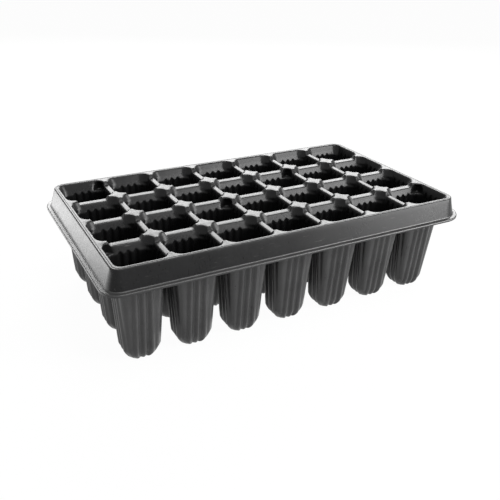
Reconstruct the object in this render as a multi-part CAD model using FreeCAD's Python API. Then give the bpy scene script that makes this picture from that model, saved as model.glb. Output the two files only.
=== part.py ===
"""Plug tray: a deep seedling tray with 28 fluted cells, vacuum formed from one black plastic sheet.

The one sheet is delivered as the regions that a pattern maker tools separately: a rim along each
side, the skirt below it, the flange round its foot, the webs between the openings and one cup per
cell.  They meet face to face.  Millimetres, +X along the seven columns, +Y to the back, +Z up, and
the origin at the centre of the base, where the cell floors stand.
"""
import FreeCAD
import Part
import math
import os

# ---- Driving dimensions -------------------------------------------------------------------------
columns = 7
rows = 4
pitch_x = 70.5              # from one column of cells to the next
pitch_y = 68.4              # from one row of cells to the next
tray_height = 143.0
sheet = 1.0                 # wall of the formed sheet

# Deck: star-shaped plateaus at the crossings, level with the rim, and lower bridges between them
ridge_width = 5.4           # deck left between two openings
mouth_radius = 15.0         # corner of an opening, which makes the stars' hollow sides
bridge_drop = 5.0           # the bridges lie this far below the stars
step_run = 4.5              # length of the sloped step down to a bridge

# Rim, skirt and flange
rim_margin = 3.75           # from the outermost grid line to the rim's edge
rim_bevel = 1.5             # rounding of the rim's edge
rim_depth = 3.0             # the skirt takes over this far below the deck
rim_corner_radius = 7.0
skirt_drop = 24.0           # from the deck down to the flange
skirt_flare = 9.0           # how far the skirt spreads on the way down
foot_corner_radius = 20.0   # corner at the foot of the skirt
flange_width = 5.75
lip_drop = 1.8              # turned-down edge below the flange's plate

# Cells: a funnel below the deck, a fluted body with a slight draft and a bevelled foot
collar_depth = 8.0          # the funnel's upper part belongs to the webs, and a cup starts below it
funnel_depth = 15.0
body_length = 59.2          # outer size at the foot of the funnel, along X
body_width = 49.2           # the same along Y
foot_length = 44.8          # outer size at the floor before the bevel, along X
foot_width = 36.6           # the same along Y
body_radius = 15.0          # outer corner of the body
foot_bevel = 8.0
drain_width = 10.0          # hole in each floor, across its flats

# Flutes: grooves down each side of a cell, which start as a point at the foot of the funnel
flutes = 3
flute_pitch = 10.0
flute_depth = 3.4           # at the floor

# Stacking pockets: notches undercut below a few stars, with a ledge that keeps nested trays apart
pocket_inset = 3.7          # from the grid lines to the pocket's walls
pocket_size = 11.8
pocket_radius = 3.0
pocket_top = 2.0            # the star's plateau stays whole above this depth
pocket_depth = 13.5
pockets = {(1, 1): (1, 1), (4, 1): (-1, 1), (3, 3): (1, 1), (2, 5): (1, 1), (4, 7): (1, 1)}

# Flats that stand for a quarter of a round corner, and for the whole of a drain hole
corner_flats = 2
rim_flats = 4
drain_flats = 8

# ---- Worked out from them -----------------------------------------------------------------------
half_x = columns * pitch_x / 2
half_y = rows * pitch_y / 2
deck = tray_height
seam = deck - collar_depth
flange_top = deck - skirt_drop
skirt_margin = rim_margin + skirt_flare
flange_margin = skirt_margin + flange_width
lean = skirt_flare / skirt_drop
reach = ridge_width / 2 + mouth_radius  # from a crossing to where the bridges begin
corner_turns = [math.radians(90 * k / corner_flats) for k in range(corner_flats + 1)]
rim_turns = [math.radians(90 * k / rim_flats) for k in range(rim_flats + 1)]
over = 2.0                  # how far cutting tools run past what they cut


def grid_x(i):
    """The grid line on the right of column i; line 0 is the left edge of the cells."""
    return i * pitch_x - half_x


def grid_y(j):
    """The grid line in front of row j; line 0 is the back edge of the cells."""
    return half_y - j * pitch_y


def moved(shape, x, y):
    copy = shape.copy()
    copy.translate(FreeCAD.Vector(x, y, 0))
    return copy


def cell_copies(shape):
    """One copy of a shape in every cell."""
    return [moved(shape, grid_x(c) - pitch_x / 2, grid_y(r) + pitch_y / 2)
            for r in range(1, rows + 1) for c in range(1, columns + 1)]


def block(x0, x1, y0, y1, z0, z1):
    return Part.makeBox(x1 - x0, y1 - y0, z1 - z0, FreeCAD.Vector(x0, y0, z0))


def ring(size_x, size_y, radius, z, turns):
    """A level rounded rectangle round the Z axis, each corner drawn with a few flats."""
    points = []
    for sx, sy, start in ((1, 1, 0), (-1, 1, 90), (-1, -1, 180), (1, -1, 270)):
        for turn in turns:
            angle = math.radians(start) + turn
            x = sx * (size_x / 2 - radius) + radius * math.cos(angle)
            y = sy * (size_y / 2 - radius) + radius * math.sin(angle)
            points.append(FreeCAD.Vector(x, y, z))
    return points


def stack(rings):
    """A closed solid through level rings that have parallel sides, from the lowest up."""
    outlines = [rings[0][::-1], rings[-1]]
    for low, high in zip(rings, rings[1:]):
        for k in range(len(low)):
            n = (k + 1) % len(low)
            outlines.append([low[k], low[n], high[n], high[k]])
    faces = [Part.Face(Part.makePolygon(points + points[:1])) for points in outlines]
    shell = Part.makeShell(faces)
    shell.sewShape()
    return Part.makeSolid(shell)


# ---- Rim, skirt and webs ------------------------------------------------------------------------
def border_ring(margin, radius, z):
    """A ring round the whole tray, a margin outside the outermost grid lines."""
    return ring(2 * (half_x + margin), 2 * (half_y + margin), radius, z, rim_turns)


def skirt_body(skin):
    """The skirt's outer form down to the flange, or with skin the air inside it."""
    side = skin * math.hypot(1, lean)
    bevel_margin = rim_margin + lean * rim_bevel
    bevel_radius = rim_corner_radius + (foot_corner_radius - rim_corner_radius) * rim_bevel / skirt_drop
    return stack([
        border_ring(skirt_margin - side, foot_corner_radius - skin, flange_top),
        border_ring(bevel_margin - side, bevel_radius - skin, deck - rim_bevel - skin),
        border_ring(rim_margin - rim_bevel - side, rim_corner_radius - rim_bevel - skin, deck - skin)])


def mouth_tool(skin):
    """The upper part of a cell's funnel, from below the seam to above the deck."""
    return stack([cell_ring(collar_depth + over, skin), cell_ring(-over, skin)])


def bridge_tool(along, pitch, drop):
    """The air above the bridge that runs along a unit vector from a crossing at the origin.

    It ends in the two steps and lies a drop lower for the sheet's underside.
    """
    across = FreeCAD.Vector(-along.y, along.x, 0)
    rise = step_run * over / bridge_drop
    outline = [(reach - step_run - rise, deck + over), (reach, deck - bridge_drop),
               (pitch - reach, deck - bridge_drop), (pitch - reach + step_run + rise, deck + over)]
    points = [along * s + across * reach + FreeCAD.Vector(0, 0, z - drop) for s, z in outline]
    face = Part.Face(Part.makePolygon(points + points[:1]))
    return face.extrude(across * (-2 * reach))


def bridge_tools(drop):
    """The air above all bridges: those between columns run along Y, those between rows along X."""
    along_x = bridge_tool(FreeCAD.Vector(1, 0, 0), pitch_x, drop)
    along_y = bridge_tool(FreeCAD.Vector(0, 1, 0), pitch_y, drop)
    tools = [moved(along_y, grid_x(i), grid_y(j)) for i in range(1, columns) for j in range(1, rows + 1)]
    return tools + [moved(along_x, grid_x(i), grid_y(j)) for i in range(columns) for j in range(1, rows)]


def pocket_tool(side_x, side_y, grow):
    """A pocket in a corner of the cell at the origin, or with grow the outer side of its walls."""
    size = pocket_size + 2 * grow
    middle = pocket_inset + pocket_size / 2
    rings = [ring(size, size, pocket_radius + grow, z, corner_turns)
             for z in (deck - pocket_depth - grow, deck - pocket_top + grow)]
    return moved(stack(rings), side_x * (pitch_x / 2 - middle), side_y * (pitch_y / 2 - middle))


def pocket_tools(grow):
    """All pockets, each in its own cell."""
    return [moved(pocket_tool(*side, grow), grid_x(c) - pitch_x / 2, grid_y(r) + pitch_y / 2)
            for (r, c), side in pockets.items()]


def formed_deck():
    """Rim, skirt and webs as the one shell that they are on the sheet."""
    upper = skirt_body(0).cut(bridge_tools(0) + cell_copies(mouth_tool(sheet)) + pocket_tools(0))
    under = skirt_body(sheet).cut(bridge_tools(sheet) + cell_copies(mouth_tool(0)) + pocket_tools(sheet))
    return upper.cut([under, block(-half_x, half_x, -half_y, half_y, 0, seam)])


def flange():
    """The flat flange round the skirt's foot, with its turned-down lip."""
    plate = flange_top - sheet
    foot = plate - lip_drop
    inner_margin = skirt_margin - sheet * math.hypot(1, lean)
    outer_radius = foot_corner_radius + flange_width
    body = stack([border_ring(flange_margin, outer_radius, foot),
                  border_ring(flange_margin, outer_radius, flange_top)])
    hollow = stack([border_ring(flange_margin - sheet, outer_radius - sheet, foot - over),
                    border_ring(flange_margin - sheet, outer_radius - sheet, plate)])
    opening = stack([border_ring(inner_margin, foot_corner_radius - sheet, foot - over),
                     border_ring(inner_margin, foot_corner_radius - sheet, flange_top + over)])
    return body.cut([hollow, opening])


# ---- Cups ---------------------------------------------------------------------------------------
def cell_size(depth):
    """Outer size of a cell's wall at a depth, as length, width and corner radius."""
    mouth = (pitch_x - ridge_width + 2 * sheet, pitch_y - ridge_width + 2 * sheet, mouth_radius + sheet)
    body = (body_length, body_width, body_radius)
    foot = (foot_length, foot_width, body_radius)
    if depth <= funnel_depth:
        low, high, part = mouth, body, depth / funnel_depth
    else:
        low, high, part = body, foot, (depth - funnel_depth) / (tray_height - funnel_depth)
    return tuple(a + (b - a) * part for a, b in zip(low, high))


def cell_ring(depth, skin, bevel=0.0):
    """A cell's section at a depth: skin 0 for its outside, sheet for its hollow."""
    length, width, radius = cell_size(depth)
    inset = skin + bevel
    return ring(length - 2 * inset, width - 2 * inset, radius - inset, deck - depth, corner_turns)


def flute_tool(side, place, skin):
    """One groove down a cell at the origin: a wedge that deepens from its tip to the floor.

    side is the direction that the cell's wall faces, and place is how far along it the groove lies.
    """
    across = FreeCAD.Vector(-side.y, side.x, 0)
    span = 0 if abs(side.x) > abs(side.y) else 1
    rings = []
    for depth, cut in ((tray_height, flute_depth + skin * (math.sqrt(2) - 1)), (funnel_depth, 0.0)):
        wall = cell_size(depth)[span] / 2 - skin
        middle = across * place + FreeCAD.Vector(0, 0, deck - depth)
        rings.append([middle + side * (wall - cut),
                      middle + side * (wall + over) - across * (cut + over),
                      middle + side * (wall + over) + across * (cut + over)])
    return stack(rings)


def cup_body(skin):
    """A cell below the webs, filled: skin 0 for its outside, sheet for its hollow."""
    floor = tray_height - skin
    bevel = foot_bevel - skin * (2 - math.sqrt(2))
    body = stack([cell_ring(floor, skin, bevel), cell_ring(floor - bevel, skin),
                  cell_ring(funnel_depth, skin), cell_ring(collar_depth, skin)])
    grooves = []
    for side in ((1, 0, 0), (0, 1, 0), (-1, 0, 0), (0, -1, 0)):
        for k in range(flutes):
            place = (k - (flutes - 1) / 2) * flute_pitch
            grooves.append(flute_tool(FreeCAD.Vector(*side), place, skin))
    return body.cut(grooves)


def drain():
    """The hole through a floor, a regular polygon."""
    circle = drain_width / 2 / math.cos(math.pi / drain_flats)
    turns = [2 * math.pi * (k + 0.5) / drain_flats for k in range(drain_flats)]
    return stack([[FreeCAD.Vector(circle * math.cos(a), circle * math.sin(a), z) for a in turns]
                  for z in (-over, foot_bevel)])


def cup(pocket):
    """One cell's cup at the origin: a thin fluted wall, in some cells with a pocket in a corner."""
    outside = cup_body(0)
    hollow = [cup_body(sheet), drain()]
    if pocket:
        outside = outside.fuse(pocket_tool(*pocket, sheet))
        hollow.append(pocket_tool(*pocket, 0))
    above = block(-half_x, half_x, -half_y, half_y, seam, deck + 2 * over)
    return outside.cut(hollow + [above])


# ---- The pieces ---------------------------------------------------------------------------------
os.makedirs("parts", exist_ok=True)
pieces = {"bottom_flange": flange()}

formed = formed_deck()
edge_x = half_x + flange_margin
edge_y = half_y + flange_margin
field = block(-half_x + reach, half_x - reach, -half_y + reach, half_y - reach, seam - over, deck + over)
inside = block(-half_x, half_x, -half_y, half_y, 0, deck)
border = formed.cut(field)
lower = block(-edge_x, edge_x, -edge_y, edge_y, flange_top, deck - rim_depth).cut(inside)
pieces["skirt"] = border.common(lower)
rim = border.cut(lower)
for name, low_y, high_y in (("rim_back", half_y - reach, edge_y), ("rim_front", -edge_y, -half_y + reach)):
    strip = block(-edge_x, edge_x, low_y, high_y, seam - over, deck + over)
    pieces[name] = rim.common(strip)
    rim = rim.cut(strip)
for name, low_x, high_x in (("rim_left", -edge_x, 0), ("rim_right", 0, edge_x)):
    pieces[name] = rim.common(block(low_x, high_x, -edge_y, edge_y, seam - over, deck + over))
webs = formed.common(field)
for j in range(1, rows):
    strip = block(-half_x, half_x, grid_y(j) - reach, grid_y(j) + reach, seam - over, deck + over)
    pieces["row_web_%d" % j] = webs.common(strip)
    webs = webs.cut(strip)
for i in range(1, columns):
    near = [s for s in webs.Solids if abs(s.CenterOfMass.x - grid_x(i)) < pitch_x / 2]
    pieces["column_web_%d" % i] = Part.makeCompound(near)

patterns = {side: cup(side) for side in {None, *pockets.values()}}
for r in range(1, rows + 1):
    for c in range(1, columns + 1):
        pattern = patterns[pockets.get((r, c))]
        pieces["cell_r%d_c%d" % (r, c)] = moved(pattern, grid_x(c) - pitch_x / 2, grid_y(r) + pitch_y / 2)

for name, shape in pieces.items():
    shape.exportStep("parts/%s.step" % name)
    print(name, "valid" if shape.isValid() else "INVALID", "solids", len(shape.Solids),
          "volume", round(shape.Volume, 1))
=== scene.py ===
import math

import bmesh
import bpy
from mathutils import Matrix, Vector


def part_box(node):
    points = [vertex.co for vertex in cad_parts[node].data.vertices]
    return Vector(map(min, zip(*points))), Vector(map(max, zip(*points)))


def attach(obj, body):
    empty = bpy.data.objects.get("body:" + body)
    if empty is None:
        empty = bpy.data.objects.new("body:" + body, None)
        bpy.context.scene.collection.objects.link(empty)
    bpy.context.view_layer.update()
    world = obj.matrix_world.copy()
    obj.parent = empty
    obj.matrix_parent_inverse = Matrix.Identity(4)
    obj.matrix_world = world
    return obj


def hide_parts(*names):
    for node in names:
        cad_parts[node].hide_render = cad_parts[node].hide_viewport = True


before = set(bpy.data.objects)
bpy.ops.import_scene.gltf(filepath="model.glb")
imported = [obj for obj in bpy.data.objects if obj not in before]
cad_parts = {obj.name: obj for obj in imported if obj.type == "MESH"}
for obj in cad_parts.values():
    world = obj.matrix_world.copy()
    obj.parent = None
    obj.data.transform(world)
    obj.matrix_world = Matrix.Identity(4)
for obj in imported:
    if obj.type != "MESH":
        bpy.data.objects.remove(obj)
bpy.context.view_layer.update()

# ---- Row webs -----------------------------------------------------------------------------------
# The three long webs between the rows of openings: six star-shaped plateaus each, level with the
# rim, and lower rounded bridges between them. The black plastic sheet is drawn tight over the
# mould's crown here first, so the webs keep its full gauge and pick up most of the scuffs.

mm = 0.001
cells_x, cells_y = 7, 4       # openings along the tray and across it
sheet = 1.0 * mm
ridge = 4.8 * mm              # deck between two openings
mouth_radius = 13.0 * mm      # corner of an opening, and so the hollow side of a star
corner_mouth_radius = 9.5 * mm                # the same at the tray's own four corners
crown = 1.3 * mm              # rounding along every opening
crown_steps = 4
turn_steps = 56               # round the corner of an opening
straight_steps = 4
bridge_drop = 5.0 * mm
step_start = 12.6 * mm        # from a crossing to where a star's arm begins to go down
step_run = 4.0 * mm           # over how far the arm goes down
reach = 21.5 * mm             # from a crossing to where the bridges begin
wall_rings = (2.6 * mm, 4.2 * mm, 6.0 * mm)   # depths of the extra rings on a wall
funnel_end = 15.0 * mm        # depth at which the sloped walls of an opening turn nearly upright
funnel_ease = 0.1             # share of that depth, before and after it, over which they turn
body_top = (57.2 * mm, 47.2 * mm)             # a cup's inside there
touching = 0.001 * mm         # points nearer than this are the same point
merging = 0.01 * mm           # the same where two patterns meet

web_foot, web_top = (corner.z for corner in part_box("row_web_1"))
deck = web_top
collar = web_top - web_foot


def middle(node):
    """The middle of a CAD node's box."""
    low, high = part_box(node)
    return (low + high) / 2


# The pitch is taken between cups that have no pocket
pitch_x = (middle("cell_r1_c6").x - middle("cell_r1_c2").x) / 4
pitch_y = (middle("cell_r1_c2").y - middle("cell_r4_c2").y) / 3
half_x, half_y = cells_x * pitch_x / 2, cells_y * pitch_y / 2
throat = ((pitch_x - ridge - body_top[0]) / 2, (pitch_y - ridge - body_top[1]) / 2)


def crossing(i, j):
    """Where grid line i between the columns meets grid line j between the rows, at deck height."""
    return Vector((i * pitch_x - half_x, half_y - j * pitch_y, deck))


def wall_inset(depth):
    """How far the walls across X and across Y have sloped in at a depth, with a soft end."""
    share = depth / funnel_end
    if share > 1 + funnel_ease:
        share = 1.0
    elif share > 1 - funnel_ease:
        share -= (share - (1 - funnel_ease)) ** 2 / (4 * funnel_ease)
    return throat[0] * share, throat[1] * share


# The crossings that have a stacking pocket under them, and the quarter that it lies in
pockets = {(1, 0): (-1, -1), (0, 3): (1, -1), (3, 2): (-1, -1), (5, 1): (-1, -1), (7, 3): (-1, -1)}
pocket_wall = 3.7 * mm        # from the grid lines
pocket_fade = (12.5 * mm, 18.5 * mm)          # where its side returns flare out to the plain wall
pocket_roundness = 8.0        # 2 is a circle, and more is squarer


def smooth(value, start, end):
    """0 before start and 1 after end, with a soft way between them."""
    share = min(1.0, max(0.0, (value - start) / (end - start)))
    return share * share * (3 - 2 * share)


def pushed_out(x, y):
    """A point near a crossing, moved out to a pocket's squarish wall if it lies within it."""
    far = pocket_fade[1]
    span = far - pocket_wall
    if max(x, y) >= far:
        return x, y
    size = ((far - x) ** pocket_roundness + (far - y) ** pocket_roundness) ** (1 / pocket_roundness)
    if size >= span:
        return x, y
    push = (span / size - 1) * (1 - smooth(max(x, y), *pocket_fade))
    return x - (far - x) * push, y - (far - y) * push


def fresh(found, kind=bmesh.types.BMVert):
    """The new points, or the new parts of another kind, that an operator gives back."""
    return [part for part in found["geom"] if isinstance(part, kind)]


def opening_corner(radius):
    """The skin round one corner of an opening, from its collar's foot over the rounded edge to both
    grid lines, for a crossing at the origin and an opening towards +X +Y. Its walls are upright."""
    bm = bmesh.new()
    turn = ridge / 2 + radius
    ends = [bm.verts.new((ridge / 2, reach, 0))]
    for axis, start, end in ((1, reach, turn), (0, turn, reach)):
        for k in range(1, straight_steps + 1):
            ends = bmesh.ops.extrude_vert_indiv(bm, verts=ends)["verts"]
            ends[0].co[axis] = start + (end - start) * k / straight_steps
        if axis == 1:
            bent = bmesh.ops.spin(bm, geom=ends, cent=(turn, turn, 0), axis=(0, 0, 1),
                                  angle=math.pi / 2, steps=turn_steps)
            ends = [part for part in bent["geom_last"] if isinstance(part, bmesh.types.BMVert)]
    edge = bm.edges[:]
    for vert in fresh(bmesh.ops.extrude_edge_only(bm, edges=edge)):
        out = Vector((reach, reach)) - vert.co.xy
        vert.co.xy = Vector((reach, reach)) - out * reach / max(out)
    rim, depth = edge, 0.0
    for ring_depth in (*wall_rings, collar):
        made = bmesh.ops.extrude_edge_only(bm, edges=rim)
        bmesh.ops.translate(bm, vec=(0, 0, depth - ring_depth), verts=fresh(made))
        rim = [part for part in fresh(made, bmesh.types.BMEdge)
               if all(abs(vert.co.z + ring_depth) < touching for vert in part.verts)]
        depth = ring_depth
    bmesh.ops.bevel(bm, geom=edge, affect="EDGES", offset=crown, offset_type="OFFSET",
                    segments=crown_steps, profile=0.5, material=-1)
    bmesh.ops.remove_doubles(bm, verts=bm.verts, dist=touching)
    mesh = bpy.data.meshes.new("opening corner")
    bm.to_mesh(mesh)
    bm.free()
    return mesh


def on_crown(vert):
    """Whether a point of an opening's corner lies on its deck or rounded edge."""
    return vert.co.z > -crown - merging


def lowered(vert, drop):
    """Takes a point of the crown down by drop, while the collar's foot stays."""
    if on_crown(vert):
        vert.co.z -= drop
    else:
        vert.co.z = -collar + (vert.co.z + collar) * (collar - crown - drop) / (collar - crown)


def slanted(vert):
    """Moves a point of an upright wall in as far as the sloped wall has gone at its depth."""
    for axis, inset in enumerate(wall_inset(-vert.co.z)):
        if vert.co[axis] > touching:
            left = (reach - vert.co[axis]) / (reach - ridge / 2 - mouth_radius)
            vert.co[axis] += inset * min(1.0, left)


def add_crossing(bm, corner, i, j, quarters, arm_x, arm_y):
    """A star, or the part of one that its quarters make, its arms stepping down to a bridge."""
    at = crossing(i, j)
    for side_x, side_y in quarters:
        old = len(bm.verts)
        bm.from_mesh(corner)
        bm.verts.ensure_lookup_table()
        new = bm.verts[old:]
        pocket = pockets.get((i, j)) == (side_x, side_y)
        for vert in new:
            hollowed = pocket and not on_crown(vert)
            axis = 0 if vert.co.x > vert.co.y else 1
            if (arm_x, arm_y)[axis]:
                step_end = step_start + step_run - wall_inset(bridge_drop)[axis]
                lowered(vert, bridge_drop * smooth(vert.co[axis], step_start, step_end))
            slanted(vert)
            if hollowed:
                vert.co.xy = pushed_out(vert.co.x, vert.co.y)
        placed = Matrix.Translation(at) @ Matrix.Diagonal((side_x, side_y, 1, 1))
        bmesh.ops.transform(bm, matrix=placed, verts=new)


def draw_bridge(bm, axis, start, end, across):
    """Carries the open section that lies at start, on the line across, on to end."""
    section = [edge for edge in bm.edges if all(
        abs(vert.co[axis] - start) < touching and abs(vert.co[1 - axis] - across) < reach / 2
        for vert in edge.verts)]
    for vert in fresh(bmesh.ops.extrude_edge_only(bm, edges=section)):
        vert.co[axis] = end


def formed(name, bm, finishes, nodes):
    """Makes a skin a piece of the sheet: merged, facing up and into the cups, and a wall thick. The
    first finish is that side's, and the second, if there is one, the other side's."""
    bmesh.ops.remove_doubles(bm, verts=bm.verts, dist=merging)
    bmesh.ops.recalc_face_normals(bm, faces=bm.faces)
    if sum(face.normal.z * face.calc_area() for face in bm.faces) < 0:
        bmesh.ops.reverse_faces(bm, faces=bm.faces)
    for face in bm.faces:
        face.smooth = True
    for edge in bm.edges:
        edge.smooth = not edge.is_boundary
    mesh = bpy.data.meshes.new(name)
    bm.to_mesh(mesh)
    bm.free()
    for finish in finishes:
        mesh.materials.append(finish)
    piece = bpy.data.objects.new(name, mesh)
    bpy.context.scene.collection.objects.link(piece)
    wall = piece.modifiers.new("wall", "SOLIDIFY")
    wall.thickness = sheet
    wall.offset = -1
    wall.use_even_offset = True
    wall.material_offset = len(finishes) - 1
    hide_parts(*nodes)
    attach(piece, "root")
    return piece


class Wire:
    """A socket of a finish's nodes. Sums and products of wires add Math nodes."""

    def __init__(self, tree, socket=None):
        self.tree = tree
        self.socket = socket

    def node(self, kind, settings=None, inputs=None, output=0):
        """Any node: its settings first, then the values or wires of its sockets."""
        made = self.tree.nodes.new(kind)
        for name, value in (settings or {}).items():
            if name == "stops":
                ramp = made.color_ramp
                while len(ramp.elements) < len(value):
                    ramp.elements.new(0.5)
                for element, (place, shade) in zip(ramp.elements, value):
                    element.position = place
                    element.color = (shade, shade, shade, 1)
            else:
                setattr(made, name, value)
        for name, value in (inputs or {}).items():
            if isinstance(value, Wire):
                self.tree.links.new(value.socket, made.inputs[name])
            else:
                made.inputs[name].default_value = value
        return Wire(self.tree, made.outputs[output] if made.outputs else None)

    def reckon(self, operation, first, second):
        """A Math node on two wires or numbers."""
        return self.node("ShaderNodeMath", {"operation": operation}, {0: first, 1: second})

    def __add__(self, other):
        return self.reckon("ADD", self, other)

    def __sub__(self, other):
        return self.reckon("SUBTRACT", self, other)

    def __rsub__(self, other):
        return self.reckon("SUBTRACT", other, self)

    def __mul__(self, other):
        return self.reckon("MULTIPLY", self, other)

    __radd__ = __add__
    __rmul__ = __mul__


def noise(place, size, detail=2.0, stretch=(1, 1, 1)):
    """Cloudy noise whose blobs are about size across, drawn out along an axis by its stretch."""
    scaled = place.node("ShaderNodeVectorMath", {"operation": "MULTIPLY"},
                        {0: place, 1: [1 / share for share in stretch]})
    return place.node("ShaderNodeTexNoise",
                      inputs={"Vector": scaled, "Scale": 1 / size, "Detail": detail})


def between(value, low, high):
    """0 below low and 1 above high."""
    return value.node("ShaderNodeMapRange",
                      inputs={"Value": value, "From Min": low, "From Max": high})


def new_tree(holder):
    """The emptied nodes of a material or a world, as a wire that makes nodes in them."""
    holder.use_nodes = True
    holder.node_tree.nodes.clear()
    return Wire(holder.node_tree)


# Light grey that scuffs, dust specks and the up-facing faces mix towards; on the up-facing faces it
# is partly a painted highlight
wear_dust_and_sheen_colour = (0.16, 0.157, 0.15, 1)


def black_sheet(name, dark, light, rough, rough_spread, grain, scuffs, dust_and_sheen, gloss, streak=None):
    """The sheet's black plastic: a cloudy black, an uneven satin, a fine grain and light wear, with
    up-facing faces painted lighter, partly as dust and partly as a painted highlight.
    A streak draws fine lines out down the walls, by that many times their width."""
    finish = bpy.data.materials.new(name)
    maker = new_tree(finish)
    place = maker.node("ShaderNodeTexCoord", output="Object")
    facing = maker.node("ShaderNodeNewGeometry", output="Normal")
    upward = maker.node("ShaderNodeSeparateXYZ", inputs={0: facing}, output="Z")
    cloud = noise(place, 45 * mm, 3)
    fine = noise(place, 0.9 * mm, 2)
    specks = between(noise(place, 2.6 * mm, 4), 0.66, 0.74)
    scratches = between(noise(place, 1.6 * mm, 3, (9, 1, 1)), 0.63, 0.72)
    worn = between(noise(place, 30 * mm, 2), 0.45, 0.65)
    wear = scratches * worn * scuffs
    # Up-facing faces are mixed towards the grey: partly settled dust, partly a painted highlight on
    # the tops
    top_dust_and_sheen = between(upward, 0.5, 1.0) * between(noise(place, 12 * mm, 4), 0.35, 0.75) * dust_and_sheen
    tone = between(cloud, 0.3, 0.7) * 0.7 + between(fine, 0.3, 0.7) * 0.3
    height = fine * grain + cloud * (grain * 6)
    roughness = rough + (cloud - 0.5) * rough_spread + wear * 0.18 + top_dust_and_sheen * 0.25 + specks * 0.06
    if streak:
        lines = noise(place, 2.2 * mm, 2, (1, 1, streak))
        height = height + lines * (grain * 2.5)
        tone = tone * 0.8 + between(lines, 0.35, 0.65) * 0.2
        roughness = roughness + (lines - 0.5) * 0.12
    colour = maker.node("ShaderNodeMix", {"data_type": "RGBA"},
                        {"Factor": tone, 6: (*dark, 1), 7: (*light, 1)}, output=2)
    colour = maker.node("ShaderNodeMix", {"data_type": "RGBA"},
                        {"Factor": wear * 0.35 + top_dust_and_sheen * 0.5 + specks * dust_and_sheen * 0.3, 6: colour,
                         7: wear_dust_and_sheen_colour}, output=2)
    bump = maker.node("ShaderNodeBump",
                      inputs={"Height": height, "Strength": 1.0, "Distance": 1.0 * mm})
    shell = maker.node("ShaderNodeBsdfPrincipled",
                       inputs={"Base Color": colour, "Roughness": roughness, "Normal": bump,
                               "Specular IOR Level": gloss})
    maker.node("ShaderNodeOutputMaterial", inputs={"Surface": shell})
    return finish


crown_black = black_sheet("satin crown", dark=(0.004, 0.004, 0.0042), light=(0.008, 0.008, 0.0083),
                          rough=0.33, rough_spread=0.12, grain=0.02, scuffs=0.8, dust_and_sheen=0.12,
                          gloss=0.2)
corner = opening_corner(mouth_radius)
all_quarters = [(1, 1), (-1, 1), (-1, -1), (1, -1)]
for j in range(1, cells_y):
    bm = bmesh.new()
    for i in range(1, cells_x):
        add_crossing(bm, corner, i, j, all_quarters, True, True)
    line = crossing(0, j).y
    for i in range(cells_x):
        left, right = crossing(i, j).x + reach, crossing(i + 1, j).x - reach
        draw_bridge(bm, 0, *((left, right) if i else (right, left)), line)
    formed("row_webs_%d" % j, bm, [crown_black], ["row_web_%d" % j])

# ---- Column webs --------------------------------------------------------------------------------
# The low rounded bridges between neighbouring openings of a row, four on each grid line. They are
# the same sheet, pressed down between the stars, and their ends meet the stars' arms.

for i in range(1, cells_x):
    bm = bmesh.new()
    for j in range(cells_y):
        back, front = crossing(i, j).y - reach, crossing(i, j + 1).y + reach
        half = bmesh.new()
        half.from_mesh(corner)
        far = [vert for vert in half.verts if vert.co.y < reach - touching]
        bmesh.ops.delete(half, geom=far, context="VERTS")
        for vert in half.verts:
            lowered(vert, bridge_drop)
            slanted(vert)
            vert.co.y = 0
        bmesh.ops.mirror(half, geom=half.verts[:] + half.edges[:], axis="X", merge_dist=touching)
        made = bmesh.ops.extrude_edge_only(half, edges=half.edges)
        bmesh.ops.translate(half, vec=(0, front - back, 0), verts=fresh(made))
        bmesh.ops.translate(half, vec=(crossing(i, j).x, back, deck), verts=half.verts)
        strip = bpy.data.meshes.new("bridge")
        half.to_mesh(strip)
        half.free()
        bm.from_mesh(strip)
    formed("column_webs_%d" % i, bm, [crown_black], ["column_web_%d" % i])

# ---- Rim and skirt ------------------------------------------------------------------------------
# The level rim all round, with half a star at the end of every web, and the skirt that flares
# below it and stiffens the tray. It is still the one sheet, drawn down over the mould's edge.

rim_edge = 3.75 * mm          # from the outermost grid lines to the rim's edge
rim_round = 2.0 * mm
# Margin and depth of the fine groove that runs round on the rim
rim_groove = ((0.5 * mm, 0), (0.9 * mm, 0.25 * mm), (1.5 * mm, 0.25 * mm), (1.9 * mm, 0))
skirt_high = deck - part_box("bottom_flange")[1].z
skirt_flare = 9.0 * mm
lean = math.atan2(skirt_flare, skirt_high)
rim_corner, foot_corner = 17.0 * mm, 33.0 * mm
sharp_corner = 0.58           # the front left corner's radius, as a share of the others'
round_steps = 6
skirt_steps = 5
foot_round = 1.5 * mm         # hollow rounding between the skirt and the flange


def border_point(home, margin, radius):
    """Where a point of the outermost grid rectangle goes on a rounded outline outside it."""
    if max(home[0], home[1]) < 0:
        radius *= sharp_corner
    x, y = abs(home[0]), abs(home[1])
    short_x, short_y = half_x - x, half_y - y
    short = max(short_x, short_y)
    edge_x, edge_y = half_x + margin, half_y + margin
    if short >= reach:
        x, y = (x, edge_y) if short_y < touching else (edge_x, y)
    else:
        run = reach + margin - radius
        gone = (1 - short / reach) * (run + radius * math.pi / 4)
        if gone > run:
            turn = (gone - run) / radius
            ways = radius * math.sin(turn), radius * math.cos(turn)
            way_x, way_y = ways if short_x > short_y else ways[::-1]
            x, y = edge_x - radius + way_x, edge_y - radius + way_y
        elif short_x > short_y:
            x, y = half_x - reach + gone, edge_y
        else:
            x, y = edge_x, half_y - reach + gone
    return math.copysign(x, home[0]), math.copysign(y, home[1])


def ringed(bm, edges):
    """Extrudes a ring of edges in place, and gives the new ring's edges and points."""
    made = bmesh.ops.extrude_edge_only(bm, edges=edges)
    new = fresh(made)
    kept = set(new)
    return [part for part in fresh(made, bmesh.types.BMEdge)
            if part.verts[0] in kept and part.verts[1] in kept], new


def border_rings(bm, edges, home_x, home_y, stations):
    """Carries the outline outward and down through stations of margin, radius and depth."""
    for margin, radius, depth in stations:
        edges, new = ringed(bm, edges)
        for vert in new:
            vert.co = (*border_point((vert[home_x], vert[home_y]), margin, radius), deck - depth)
    return edges


def skirt_line(depth):
    """Margin and corner radius of the flared skirt at a depth."""
    share = depth / skirt_high
    return rim_edge + skirt_flare * share, rim_corner + (foot_corner - rim_corner) * share, depth


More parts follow.
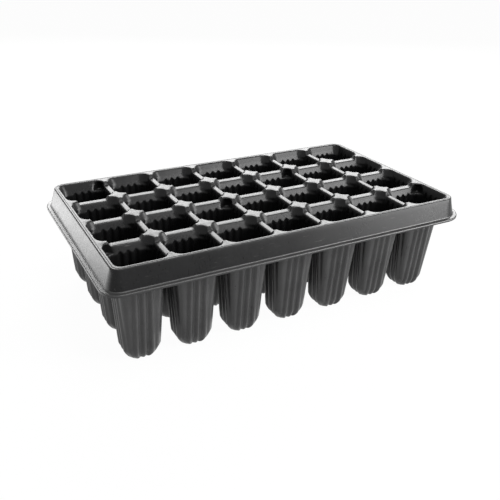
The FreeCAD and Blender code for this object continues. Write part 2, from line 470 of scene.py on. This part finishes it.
round_margin = rim_edge + rim_round * (math.tan(lean) - 1 / math.cos(lean))
line_radius = rim_corner - rim_edge
rim_stations = [(margin, line_radius + margin, depth) for margin, depth in rim_groove]
for k in range(round_steps + 1):
    turn = math.pi / 2 + (lean - math.pi / 2) * k / round_steps
    margin = round_margin + rim_round * math.cos(turn)
    rim_stations.append((margin, line_radius + margin, rim_round * (1 - math.sin(turn))))
foot_margin = rim_edge + math.tan(lean) * (skirt_high - foot_round) + foot_round / math.cos(lean)
foot_depth = skirt_high - foot_round * (1 - math.sin(lean))
skirt_start = rim_stations[-1][2]
skirt_stations = [skirt_line(skirt_start + (foot_depth - skirt_start) * k / skirt_steps)
                  for k in range(1, skirt_steps + 1)]

corner_mouth = opening_corner(corner_mouth_radius)
bm = bmesh.new()
for i in range(cells_x + 1):
    for j in range(cells_y + 1):
        quarters = [(side_x, side_y) for side_x, side_y in all_quarters
                    if 0 <= i + (side_x - 1) / 2 < cells_x
                    and 0 <= j - (side_y + 1) / 2 < cells_y]
        if len(quarters) < 4:
            add_crossing(bm, corner_mouth if len(quarters) == 1 else corner, i, j, quarters,
                         i in (0, cells_x) and 0 < j < cells_y,
                         j in (0, cells_y) and 0 < i < cells_x)
for i in range(cells_x):
    for j in (0, cells_y):
        draw_bridge(bm, 0, crossing(i, j).x + reach, crossing(i + 1, j).x - reach, crossing(i, j).y)
for j in range(cells_y):
    for i in (0, cells_x):
        draw_bridge(bm, 1, crossing(i, j).y - reach, crossing(i, j + 1).y + reach, crossing(i, j).x)
bmesh.ops.remove_doubles(bm, verts=bm.verts, dist=merging)
home_x = bm.verts.layers.float.new("home_x")
home_y = bm.verts.layers.float.new("home_y")
for vert in bm.verts:
    vert[home_x], vert[home_y] = vert.co.x, vert.co.y
outline = [edge for edge in bm.edges if edge.is_boundary and all(
    vert.co.z > deck - touching
    and (abs(abs(vert.co.x) - half_x) < touching or abs(abs(vert.co.y) - half_y) < touching)
    for vert in edge.verts)]
for vert in {vert for edge in outline for vert in edge.verts}:
    vert.co.xy = border_point(vert.co, 0, line_radius)
outline = border_rings(bm, outline, home_x, home_y, rim_stations)
rim_black = black_sheet("satin rim", dark=(0.004, 0.004, 0.0042), light=(0.009, 0.009, 0.0093),
                        rough=0.30, rough_spread=0.10, grain=0.016, scuffs=0.6, dust_and_sheen=0.08,
                        gloss=0.18, streak=6)
border_rings(bm, outline, home_x, home_y, skirt_stations)
formed("rim_and_skirt", bm, [rim_black],
       ["rim_front", "rim_back", "rim_left", "rim_right", "skirt"])

# ---- Flange -------------------------------------------------------------------------------------
# The flat flange round the skirt's foot, where the formed sheet was clamped and then trimmed. Its
# edge is turned down into a short lip, and the punch leaves that edge a little rougher.

flange_low, flange_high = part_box("bottom_flange")
flange_margin = flange_high.x - half_x
flange_width = 5.75 * mm
flange_corner = foot_corner + flange_width
fillet_steps = 5
lip_round = 1.5 * mm
lip_steps = 6
near_corner = 1.2 * reach     # outline edges shorter than this lie beside a corner
corner_halvings = 4           # how often those are halved

bm = bmesh.new()
home_x = bm.verts.layers.float.new("home_x")
home_y = bm.verts.layers.float.new("home_y")
bmesh.ops.create_grid(bm, x_segments=1, y_segments=1, size=1.0)
bmesh.ops.delete(bm, geom=bm.faces[:], context="FACES_ONLY")
for vert in bm.verts:
    vert.co = (math.copysign(half_x, vert.co.x), math.copysign(half_y, vert.co.y),
               deck - foot_depth)
bmesh.ops.bisect_edges(bm, edges=bm.edges[:], cuts=2)
for vert in bm.verts:
    if abs(vert.co.x) < half_x - touching:
        vert.co.x = math.copysign(half_x - reach, vert.co.x)
    if abs(vert.co.y) < half_y - touching:
        vert.co.y = math.copysign(half_y - reach, vert.co.y)
for halving in range(corner_halvings):
    short = [edge for edge in bm.edges if edge.calc_length() < near_corner]
    bmesh.ops.bisect_edges(bm, edges=short, cuts=1)
for vert in bm.verts:
    vert[home_x], vert[home_y] = vert.co.x, vert.co.y
skirt_end, skirt_corner, _ = skirt_line(foot_depth)
for vert in bm.verts:
    vert.co.xy = border_point((vert[home_x], vert[home_y]), skirt_end, skirt_corner)
flange_stations = []
for k in range(1, fillet_steps + 1):
    turn = lean + (math.pi / 2 - lean) * k / fillet_steps
    margin = foot_margin - foot_round * math.cos(turn)
    flange_stations.append((margin, foot_corner + margin - skirt_flare - rim_edge,
                            skirt_high - foot_round * (1 - math.sin(turn))))
for k in range(lip_steps + 1):
    turn = math.pi / 2 * (1 - k / lip_steps)
    margin = flange_margin - lip_round * (1 - math.cos(turn))
    flange_stations.append((margin, flange_corner + margin - flange_margin,
                            skirt_high + lip_round * (1 - math.sin(turn))))
flange_stations.append((flange_margin, flange_corner, deck - flange_low.z))
border_rings(bm, bm.edges[:], home_x, home_y, flange_stations)
flange_black = black_sheet("pressed flange", dark=(0.010, 0.010, 0.0103),
                           light=(0.022, 0.022, 0.0225), rough=0.34, rough_spread=0.10,
                           grain=0.02, scuffs=0.9, dust_and_sheen=0.2, gloss=0.5)
formed("foot_flange", bm, [flange_black], ["bottom_flange"])

# ---- Cups ---------------------------------------------------------------------------------------
# The 28 deep cups that hang from the webs. The hot sheet is stretched over 28 tapered plugs with
# three flutes down each side, which train the roots downwards; a hole in each floor drains it.

foot_size = (39.2 * mm, 31.6 * mm)            # a cup's inside at its floor, before the foot's bevel
body_radius, foot_radius = 8.0 * mm, 5.5 * mm
foot_bevel = (8.0 * mm, 4.5 * mm)             # how far the bevel goes in along X and along Y
bevel_high = 14.0 * mm
bevel_roundness = 1.35        # 1 is a straight bevel and 2 a quarter circle
bevel_steps = 8
floor_radius_share = 0.3      # how much of a corner's radius is left at the floor
floor_top = sheet + 0.15 * mm # the floor's upper face, so that its flutes stay off the ground
drain = 5.0 * mm              # radius of the hole in the floor
# Radius and height above the floor of the hole's raised edge, going inward
drain_edge = ((drain + 0.5 * mm, 0.0), (drain + 0.15 * mm, 0.12 * mm), (drain, 0.4 * mm))
pocket_end = (12.6 * mm, 13.5 * mm)           # depths between which a pocket closes
flute_places = (-10.0 * mm, 0.0, 10.0 * mm)
flute_half = 4.6 * mm
flute_top, flute_bottom = 1.9 * mm, 2.8 * mm  # how far a flute stands out of the wall
flute_start, flute_full = 13.0 * mm, 45.0 * mm
flute_points = [k / 5 for k in range(-5, 6)]  # across a flute, as shares of half its width
side_columns = [place + share * flute_half for place in flute_places for share in flute_points]
side_end = 15.0 * mm          # from a side's middle to where its corner's columns begin
corner_share = 0.4            # of a corner's radius, on each side of it, that its own columns take
corner_columns = 12
# Depths of a cup's rings in mm, close together where the funnel turns and the flutes begin
ring_depths = (8.0, 9.0, 10.0, 10.8, 11.4, 12.0, 12.6, 13.1, 13.5, 14.0, 14.5, 15.0, 15.6, 16.2, 17,
               18.5, 21, 24, 28, 33, 39, 46, 56, 68, 80, 92, 104, 117)


def cup_size(depth):
    """Length and width of a cup's inside at a depth."""
    share = max(0.0, (depth - funnel_end) / (deck - funnel_end))
    return [top + (foot - top) * share + 2 * (slope - inset)
            for top, foot, slope, inset in zip(body_top, foot_size, throat, wall_inset(depth))]


def corner_radius(depth, mouth):
    """Radius of a cup's corner at a depth, where its mouth has the radius given."""
    if depth < funnel_end:
        return mouth + (body_radius - mouth) * smooth(depth, collar, funnel_end)
    return body_radius + (foot_radius - body_radius) * (depth - funnel_end) / (deck - funnel_end)


def side_point(along, length, width, radius):
    """How far out a side of the given length lies at a place along it, from the cup's middle."""
    flat = length / 2 - radius
    if abs(along) <= flat:
        return width / 2
    return width / 2 - radius + math.sqrt(max(0.0, radius ** 2 - (abs(along) - flat) ** 2))


def flute(along, axis, depth):
    """How far a flute stands out of the plain wall at a depth; it runs out on the slope."""
    away = min(abs(along - place) for place in flute_places) / flute_half
    high = flute_top + (flute_bottom - flute_top) * smooth(depth, flute_start, flute_full)
    bump = high * (0.5 + 0.5 * math.cos(math.pi * min(1.0, away)))
    return max(0.0, bump - throat[axis] + wall_inset(depth)[axis])


def cup_point(column, sizes, radii, depth):
    """The place of a column on a rounded outline; corner k ends side k and begins the next."""
    side, along, share = column
    length, width = sizes if side % 2 == 0 else sizes[::-1]
    radius = radii[side] if share is not None or along > 0 else radii[side - 1]
    limits = [min(side_end, size / 2 - corner_share * radius) for size in (length, width)]
    if share is None:
        squeeze = limits[0] / side_end
        stand = flute(along, 1 - side % 2, depth) * squeeze
        x, y = along * squeeze, -side_point(along * squeeze, length, width, radius) - stand
    else:
        flats = [size / 2 - radius for size in (length, width)]
        turns = [math.asin(max(0.0, limit - flat) / radius) for limit, flat in zip(limits, flats)]
        runs = [max(0.0, flat - limit) for limit, flat in zip(limits, flats)]
        bend = (math.pi / 2 - turns[0] - turns[1]) * radius
        gone = share * (runs[0] + bend + runs[1])
        if gone < runs[0]:
            x, y = limits[0] + gone, -width / 2
        elif gone < runs[0] + bend:
            turn = turns[0] + (gone - runs[0]) / radius
            x, y = flats[0] + radius * math.sin(turn), -flats[1] - radius * math.cos(turn)
        else:
            x, y = length / 2, -flats[1] + (gone - runs[0] - bend)
    for quarter in range(side):
        x, y = -y, x
    return Vector((x, y))


columns = []
for side in range(4):
    columns += [(side, -side_end, None)]
    columns += [(side, along, None) for along in side_columns]
    columns += [(side, side_end, None)]
    columns += [(side, None, k / corner_columns) for k in range(1, corner_columns)]


def stations():
    """Depth of a cup's rings, from its top down the wall and round its foot, and how much of the
    bevel each has taken."""
    found = [(depth * mm, 0.0) for depth in ring_depths]
    for k in range(bevel_steps + 1):
        turn = math.pi / 2 * k / bevel_steps
        down, across = (1 - max(0.0, part) ** (2 / bevel_roundness)
                        for part in (math.sin(turn), math.cos(turn)))
        found.append((deck - floor_top - bevel_high * down, across))
    return found


def cup(pocket, mouths):
    """The inside of a cup at the origin; pocket is the way from its middle to a pocket's corner."""
    bm = bmesh.new()
    order = bm.verts.layers.int.new("order")
    bmesh.ops.create_circle(bm, segments=len(columns), radius=1.0)
    bm.verts.ensure_lookup_table()
    for k, vert in enumerate(bm.verts):
        vert[order] = k
    edges, new = bm.edges[:], bm.verts[:]
    for count, (depth, bevelled) in enumerate(stations()):
        if count:
            edges, new = ringed(bm, edges)
        sizes = [size - 2 * inset * bevelled for size, inset in zip(cup_size(depth), foot_bevel)]
        left = 1 - (1 - floor_radius_share) * bevelled
        radii = [corner_radius(depth, mouth) * left for mouth in mouths]
        for vert in new:
            spot = cup_point(columns[vert[order]], sizes, radii, depth)
            if pocket:
                near = Vector((pitch_x / 2 - spot.x * pocket[0], pitch_y / 2 - spot.y * pocket[1]))
                near = near.lerp(Vector(pushed_out(*near)), 1 - smooth(depth, *pocket_end))
                spot = Vector(((pitch_x / 2 - near.x) * pocket[0],
                               (pitch_y / 2 - near.y) * pocket[1]))
            vert.co = (spot.x, spot.y, deck - depth)
    for radius, lift in drain_edge:
        edges, new = ringed(bm, edges)
        for vert in new:
            vert.co.xy = vert.co.xy.normalized() * radius
            vert.co.z = floor_top + lift
    mesh = bpy.data.meshes.new("cup")
    bm.to_mesh(mesh)
    bm.free()
    return mesh


# Lit and shaded copies of the one sheet: the cups' outside is painted several times lighter than
# their inside, as painted light on the cup fronts
cup_inside = black_sheet("drawn cup inside", dark=(0.004, 0.004, 0.0042),
                         light=(0.009, 0.009, 0.0093), rough=0.28, rough_spread=0.10, grain=0.014,
                         scuffs=0.25, dust_and_sheen=0.1, gloss=0.2, streak=16)
cup_outside_painted_lighter = black_sheet("drawn cup outside painted lighter", dark=(0.018, 0.018, 0.0182),
                          light=(0.048, 0.048, 0.0484), rough=0.31, rough_spread=0.14, grain=0.02,
                          scuffs=0.5, dust_and_sheen=0.1, gloss=0.38, streak=16)
# Column and row of the cups at the tray's corners, and which of its own corners lies there
tray_corners = {(cells_x, cells_y): 0, (cells_x, 1): 1, (1, 1): 2, (1, cells_y): 3}
patterns = {}
for r in range(1, cells_y + 1):
    for c in range(1, cells_x + 1):
        pocket = None
        for (i, j), (side_x, side_y) in pockets.items():
            if (c, r) == (i + (side_x + 1) // 2, j + (1 - side_y) // 2):
                pocket = (-side_x, -side_y)
        mouths = tuple(corner_mouth_radius if tray_corners.get((c, r)) == k else mouth_radius
                       for k in range(4))
        if (pocket, mouths) not in patterns:
            patterns[pocket, mouths] = cup(pocket, mouths)
        bm = bmesh.new()
        bm.from_mesh(patterns[pocket, mouths])
        place = (crossing(c - 1, r - 1) + crossing(c, r)) / 2
        bmesh.ops.translate(bm, vec=(place.x, place.y, 0), verts=bm.verts)
        formed("cup_r%d_c%d" % (r, c), bm, [cup_inside, cup_outside_painted_lighter], ["cell_r%d_c%d" % (r, c)])

# ---- Studio -------------------------------------------------------------------------------------
# A wide pale floor under a white surround, five soft lamps, and a camera above the tray's front
# left corner.

white = (1, 1, 1, 1)
floor_half = 9.0
floor_gap = 0.2 * mm          # between the floor and the cups' feet
floor_shade = 0.8
floor_bright = 0.97           # how much of the floor's white hides its own shading
surround_light = 0.2          # strength of the surround as a light


def looked_at(maker):
    """1 for the rays that show a thing straight, mirrored or through glass."""
    seen = maker.node("ShaderNodeLightPath", output="Is Camera Ray")
    mirrored = maker.node("ShaderNodeLightPath", output="Is Glossy Ray")
    passed = maker.node("ShaderNodeLightPath", output="Is Transmission Ray")
    return between(seen + mirrored + passed, 0.0, 1.0)


pale_floor = bpy.data.materials.new("pale floor")
maker = new_tree(pale_floor)
share = looked_at(maker) * floor_bright
matt = maker.node("ShaderNodeBsdfDiffuse",
                  inputs={"Color": (floor_shade, floor_shade, floor_shade, 1)})
bright = maker.node("ShaderNodeEmission", inputs={"Color": white, "Strength": 1.0})
both = maker.node("ShaderNodeMixShader", inputs={0: share, 1: matt, 2: bright})
maker.node("ShaderNodeOutputMaterial", inputs={"Surface": both})

bm = bmesh.new()
bmesh.ops.create_grid(bm, x_segments=1, y_segments=1, size=floor_half)
bmesh.ops.translate(bm, vec=(0, 0, -floor_gap), verts=bm.verts)
mesh = bpy.data.meshes.new("floor")
bm.to_mesh(mesh)
bm.free()
floor = bpy.data.objects.new("floor", mesh)
bpy.context.scene.collection.objects.link(floor)
mesh.materials.append(pale_floor)

world = bpy.data.worlds.new("white surround")
bpy.context.scene.world = world
maker = new_tree(world)
strength = surround_light + looked_at(maker) * (1 - surround_light)
air = maker.node("ShaderNodeBackground", inputs={"Color": white, "Strength": strength})
maker.node("ShaderNodeOutputWorld", inputs={"Surface": air})


def lamp(name, place, aim, width, height, radiance):
    """A soft rectangular lamp that faces the point it is aimed at and doesn't show itself."""
    light = bpy.data.lights.new(name, "AREA")
    light.shape = "RECTANGLE"
    light.size, light.size_y = width, height
    light.energy = radiance * math.pi * width * height
    thing = bpy.data.objects.new(name, light)
    thing.location = place
    thing.rotation_euler = (Vector(aim) - Vector(place)).to_track_quat("-Z", "Y").to_euler()
    thing.visible_camera = False
    bpy.context.scene.collection.objects.link(thing)


tray = (0, 0, 0.1)
left_skirt = (-0.26, -0.14, 0.12)
lamp("back lamp", (0.95, 1.75, 1.05), tray, width=2.6, height=0.9, radiance=9.5)
lamp("left lamp", (-0.66, 0.20, 0.07), left_skirt, width=0.9, height=0.14, radiance=6.0)
lamp("right lamp", (1.7, -1.3, 0.7), tray, width=1.2, height=0.9, radiance=14.0)
lamp("front lamp", (1.15, -1.25, 1.25), tray, width=1.1, height=0.45, radiance=17.0)
lamp("top lamp", (0.1, -0.35, 1.6), tray, width=1.0, height=0.5, radiance=8.0)

camera = bpy.data.cameras.new("camera")
camera.lens = 44.40
camera.sensor_width = 36.0
camera.shift_x = 0.0628
camera.shift_y = 0.0019
camera_place = (-0.4096, -0.7106, 0.46784)
azimuth, rise, roll = math.radians(-26.765), math.radians(27.192), math.radians(0.831)
back = Vector((math.sin(azimuth) * math.cos(rise), -math.cos(azimuth) * math.cos(rise),
               math.sin(rise)))
right = (-back).cross(Vector((0, 0, 1))).normalized()
up = right.cross(-back)
side = math.cos(roll) * right + math.sin(roll) * up
top = math.cos(roll) * up - math.sin(roll) * right
turned = Matrix((side, top, back)).transposed().to_4x4()
seat = bpy.data.objects.new("camera", camera)
seat.matrix_world = Matrix.Translation(camera_place) @ turned
bpy.context.scene.collection.objects.link(seat)
bpy.context.scene.camera = seat
bpy.context.scene.view_settings.view_transform = "Standard"
